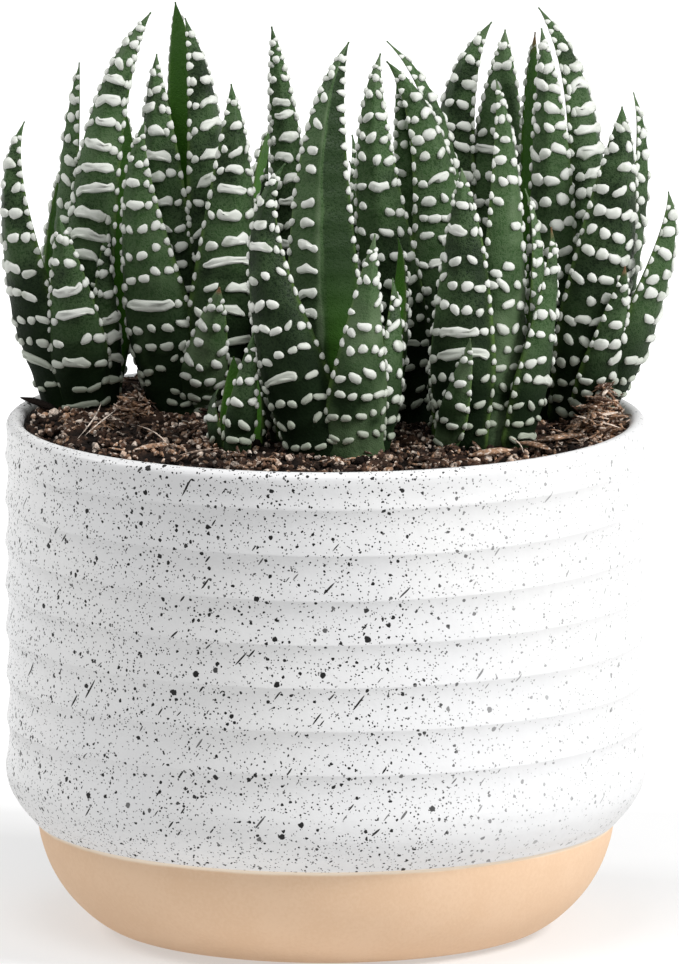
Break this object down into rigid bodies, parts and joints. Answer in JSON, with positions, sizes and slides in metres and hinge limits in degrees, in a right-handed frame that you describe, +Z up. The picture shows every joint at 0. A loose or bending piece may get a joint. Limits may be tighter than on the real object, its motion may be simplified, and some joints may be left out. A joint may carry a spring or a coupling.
{
  "type": "potted haworthia",
  "caption": "Zebra haworthia cluster with white raised bands on dark pointed leaves, in a ribbed speckled white glazed pot with a bare clay base.",
  "frame": {"origin": "centre of the pot's flat underside", "axes": "+Z up along the pot's axis, -Y towards the front of the picture, +X to its right"},
  "size_m": [0.1188, 0.112, 0.161],
  "materials": {
    "speckled_glaze": "satin",
    "potting_soil": "matte",
    "leaf": "satin"
  },
  "bodies": {
    "root": {"pot": "speckled_glaze", "potting_soil": "potting_soil", "rosette_far_left": "leaf", "rosette_left": "leaf", "rosette_back": "leaf", "rosette_front": "leaf", "rosette_middle": "leaf", "rosette_front_right": "leaf", "rosette_back_right": "leaf", "rosette_right": "leaf", "offset_front_left": "leaf"}
  },
  "joints": []
}
